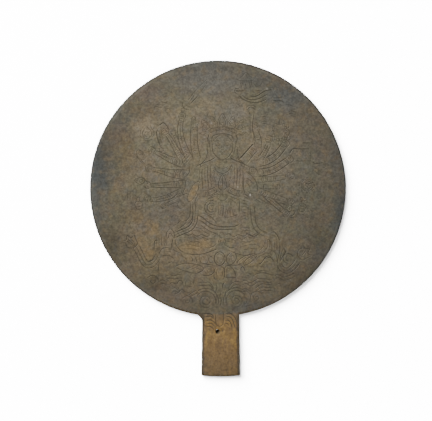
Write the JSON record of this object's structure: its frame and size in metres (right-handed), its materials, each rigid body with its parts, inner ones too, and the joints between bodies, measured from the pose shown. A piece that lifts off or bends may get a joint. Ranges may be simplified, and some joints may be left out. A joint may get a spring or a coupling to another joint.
{
  "type": "bronze mirror",
  "caption": "Flat round cast bronze mirror with a short flat tang for a wooden handle, its back engraved with a many-armed seated figure on a lotus over curling water.",
  "frame": {"origin": "centre of the disc's plain underside, which the mirror lies on; the engraved face is 4 mm above it", "axes": "+Z out of the engraved face, -Y along the tang, +X to the right with the figure upright"},
  "size_m": [0.18, 0.2223, 0.004],
  "materials": {
    "bronze": "dull grey-brown to olive patina, ochre on the tang, faint metallic sheen"
  },
  "bodies": {
    "root": {"mirror": "bronze"}
  },
  "joints": []
}
